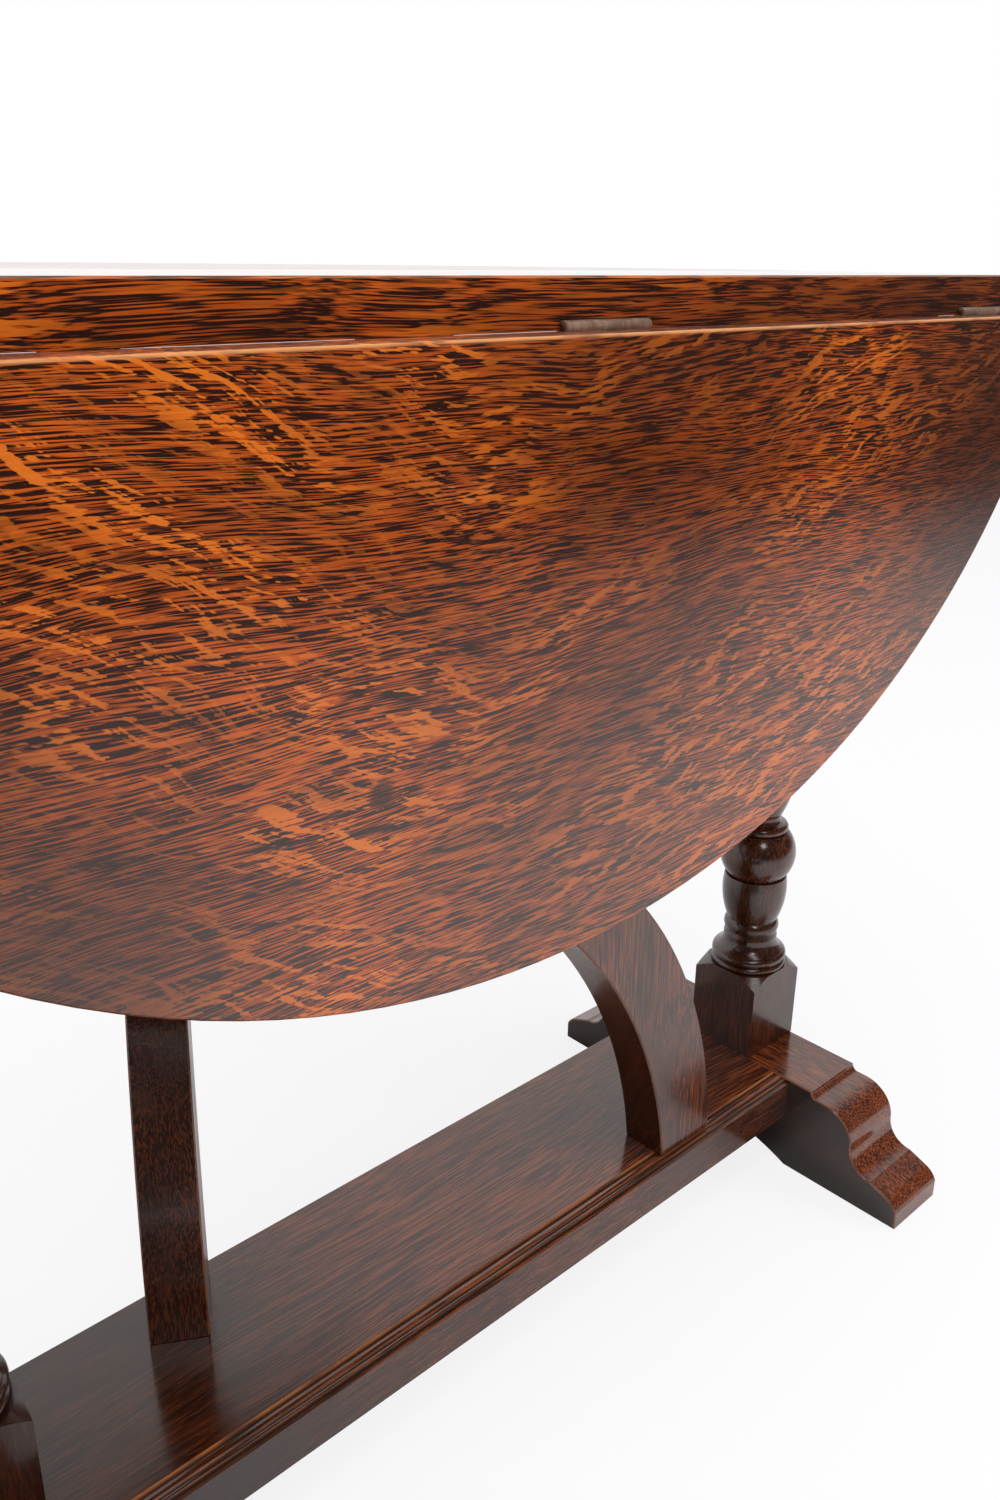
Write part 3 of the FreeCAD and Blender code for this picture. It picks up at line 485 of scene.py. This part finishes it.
class TABLE_OT_studio(bpy.types.Operator):
    """White floor, soft studio light and the camera"""

    bl_idname = "table.studio"
    bl_label = "Studio"

    def execute(self, context):
        look = context.scene.table_studio
        self.floor(context.scene, look)
        self.world(context.scene, look)
        self.lamp(context.scene, "key_lamp", KEY_PLACE, KEY_SIZE, look.key)
        fill = self.lamp(context.scene, "fill_lamp", FILL_PLACE, FILL_SIZE, look.fill)
        fill.visible_glossy = False
        self.lamp(context.scene, "catch_lamp", CATCH_PLACE, CATCH_SIZE, look.catch)
        self.camera(context.scene, look)
        context.scene.view_settings.view_transform = "Standard"
        return {"FINISHED"}

    def floor(self, scene, look):
        """A flat sheet, x = h (2u - 1), y = h (2v - 1), z = 0, for u and v from 0 to 1; h is half its width."""
        u, v = np.meshgrid((0, 1), (0, 1))
        sheet = np.stack([FLOOR_HALF * (2 * u - 1), FLOOR_HALF * (2 * v - 1), 0 * u], axis=-1)
        corners = sheet.reshape(-1, 3)
        mesh = bpy.data.meshes.new("floor")
        mesh.from_pydata(corners.tolist(), [], [(0, 1, 3, 2)])
        # paper lit so that it fills its own shadows; in the gloss it is painted dark in front of the table, and
        # a dark disc is painted on it beside the camera, as painted dark reflections
        material = bpy.data.materials.new("white_paper_floor")
        tree = new_tree(material)
        glossy = add(tree, "LightPath", out="Is Glossy Ray")
        seen = add(tree, "LightPath", out="Is Camera Ray")
        spot = add(tree, "TexCoord", out="Object")
        ahead = add(tree, "SeparateXYZ", spot, out="Y")
        end = add(tree, "MapRange", ahead, FLOOR_END, FLOOR_START, MIRROR_DARK, FLOOR_MIRRORED)
        away = add(tree, "VectorMath", spot, PAINTED_DARK_DISC_PLACE, operation="DISTANCE", out="Value")
        painted_dark_disc = add(tree, "MapRange", away, PAINTED_DARK_DISC_INNER, PAINTED_DARK_DISC_OUTER, MIRROR_DARK, 1)
        mirrored = add(tree, "Math", end, painted_dark_disc, operation="MULTIPLY")
        tone = add(tree, "Mix", glossy, in6=look.floor, in7=mirrored, data_type="RGBA",
                   blend_type="MULTIPLY", out=2)
        paper = add(tree, "BsdfDiffuse", Color=tone)
        glow = add(tree, "Emission", Color=look.floor, Strength=1)
        share = add(tree, "Math", seen, look.floor_glow, operation="MULTIPLY")
        add(tree, "OutputMaterial", Surface=add(tree, "MixShader", share, paper, glow))
        mesh.materials.append(material)
        floor = bpy.data.objects.new("floor", mesh)
        scene.collection.objects.link(floor)

    def world(self, scene, look):
        """White to the camera, daylight from behind, and dark on the camera's side in the gloss."""
        scene.world = bpy.data.worlds.new("studio")
        tree = new_tree(scene.world)
        glossy = add(tree, "LightPath", out="Is Glossy Ray")
        seen = add(tree, "LightPath", out="Is Camera Ray")
        look_to = add(tree, "TexCoord", out="Generated")
        behind = add(tree, "VectorMath", look_to, BACKDROP, operation="DOT_PRODUCT", out="Value")
        room = add(tree, "MapRange", behind, BACKDROP_LOW, BACKDROP_HIGH, ROOM_DARK, 1)
        # the white backdrop ends some way up, and the ceiling above it is dark
        height = add(tree, "SeparateXYZ", look_to, out="Z")
        ceiling = add(tree, "MapRange", height, CEILING_LOW, CEILING_HIGH, 1, CEILING_DARK)
        room = add(tree, "Math", room, ceiling, operation="MULTIPLY")
        window = add(tree, "VectorMath", look_to, WINDOW, operation="DOT_PRODUCT", out="Value")
        daylight = add(tree, "MapRange", window, WINDOW_LOW, WINDOW_HIGH, DAYLIGHT_LEAST * look.ambient,
                       DAYLIGHT_MOST * look.ambient)
        gloss = add(tree, "Mix", glossy, in2=daylight, in3=room)
        strength = add(tree, "Mix", seen, in2=gloss, in3=1)
        add(tree, "OutputWorld", Surface=add(tree, "Background", Color=(1, 1, 1), Strength=strength))

    def lamp(self, scene, name, place, size, power):
        """A round soft lamp that points at the table's middle."""
        data = bpy.data.lights.new(name, "AREA")
        data.shape = "DISK"
        data.size = size
        data.energy = power
        lamp = bpy.data.objects.new(name, data)
        lamp.location = place
        lamp.rotation_euler = (Vector(LAMP_AIM) - lamp.location).to_track_quat("-Z", "Y").to_euler()
        scene.collection.objects.link(lamp)
        return lamp

    def camera(self, scene, look):
        """The photograph's camera: place, heading, pitch and roll fitted to the table's edges."""
        yaw, pitch, roll = (math.radians(angle) for angle in (CAMERA_YAW, CAMERA_PITCH, CAMERA_ROLL))
        forward = Vector((math.cos(yaw) * math.cos(pitch), math.sin(yaw) * math.cos(pitch), -math.sin(pitch)))
        level = Vector((math.sin(yaw), -math.cos(yaw), 0))
        upright = level.cross(forward)
        right = level * math.cos(roll) + upright * math.sin(roll)
        up = upright * math.cos(roll) - level * math.sin(roll)
        data = bpy.data.cameras.new("camera")
        data.sensor_width = 36
        data.lens = look.lens
        data.clip_start = 0.01
        camera = bpy.data.objects.new("camera", data)
        turn = Matrix((right, up, -forward)).transposed().to_4x4()
        camera.matrix_world = Matrix.Translation(CAMERA_PLACE) @ turn
        scene.collection.objects.link(camera)
        scene.camera = camera


OPERATORS = (TABLE_OT_top, TABLE_OT_base, TABLE_OT_wings, TABLE_OT_hardware, TABLE_OT_studio)
GROUPS = {
    "table_top_oak": TABLE_PG_top_oak,
    "table_base_oak": TABLE_PG_base_oak,
    "table_hardware": TABLE_PG_hardware,
    "table_studio": TABLE_PG_studio,
}


class TABLE_PT_looks(bpy.types.Panel):
    """The table's finishes and studio"""

    bl_idname = "TABLE_PT_looks"
    bl_label = "Butterfly table"
    bl_space_type = "VIEW_3D"
    bl_region_type = "UI"
    bl_category = "Table"

    def draw(self, context):
        for operator in OPERATORS:
            self.layout.operator(operator.bl_idname)
        for name, group in GROUPS.items():
            box = self.layout.box()
            for setting in group.__annotations__:
                box.prop(getattr(context.scene, name), setting)


CLASSES = (*GROUPS.values(), *OPERATORS, TABLE_PT_looks)


def register():
    for cls in CLASSES:
        bpy.utils.register_class(cls)
    for name, group in GROUPS.items():
        setattr(bpy.types.Scene, name, bpy.props.PointerProperty(type=group))


def unregister():
    for name in GROUPS:
        delattr(bpy.types.Scene, name)
    for cls in reversed(CLASSES):
        bpy.utils.unregister_class(cls)


def main():
    register()
    for operator in OPERATORS:
        group, name = operator.bl_idname.split(".")
        getattr(getattr(bpy.ops, group), name)()


if __name__ == "__main__":
    main()
